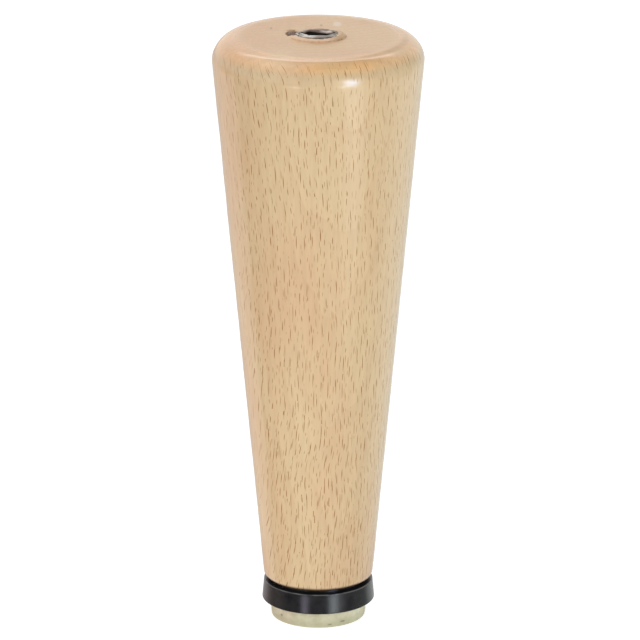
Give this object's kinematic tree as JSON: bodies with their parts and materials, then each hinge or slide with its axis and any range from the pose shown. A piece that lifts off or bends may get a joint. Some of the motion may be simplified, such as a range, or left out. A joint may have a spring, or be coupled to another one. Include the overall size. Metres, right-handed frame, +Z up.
{
  "type": "wooden furniture leg",
  "caption": "Straight tapered round wooden furniture leg with a threaded metal insert in its top and a felt glide under its foot.",
  "frame": {"origin": "centre of the felt pad's underside, where the leg stands", "axes": "+Z up along the leg's own axis, from the foot to the threaded insert; X and Y across it"},
  "size_m": [0.0558, 0.0558, 0.1618],
  "materials": {
    "beech": "clear satin lacquer over pale beech",
    "insert_metal": "bright zinc, as cast",
    "black_plastic": "semi-gloss moulded black",
    "nail_steel": "plain drawn steel",
    "felt": "pressed wool felt, cream"
  },
  "bodies": {
    "root": {"leg_body": "beech", "threaded_insert": "insert_metal", "glide_base": "black_plastic", "glide_nail": "nail_steel", "felt_pad": "felt"}
  },
  "joints": []
}
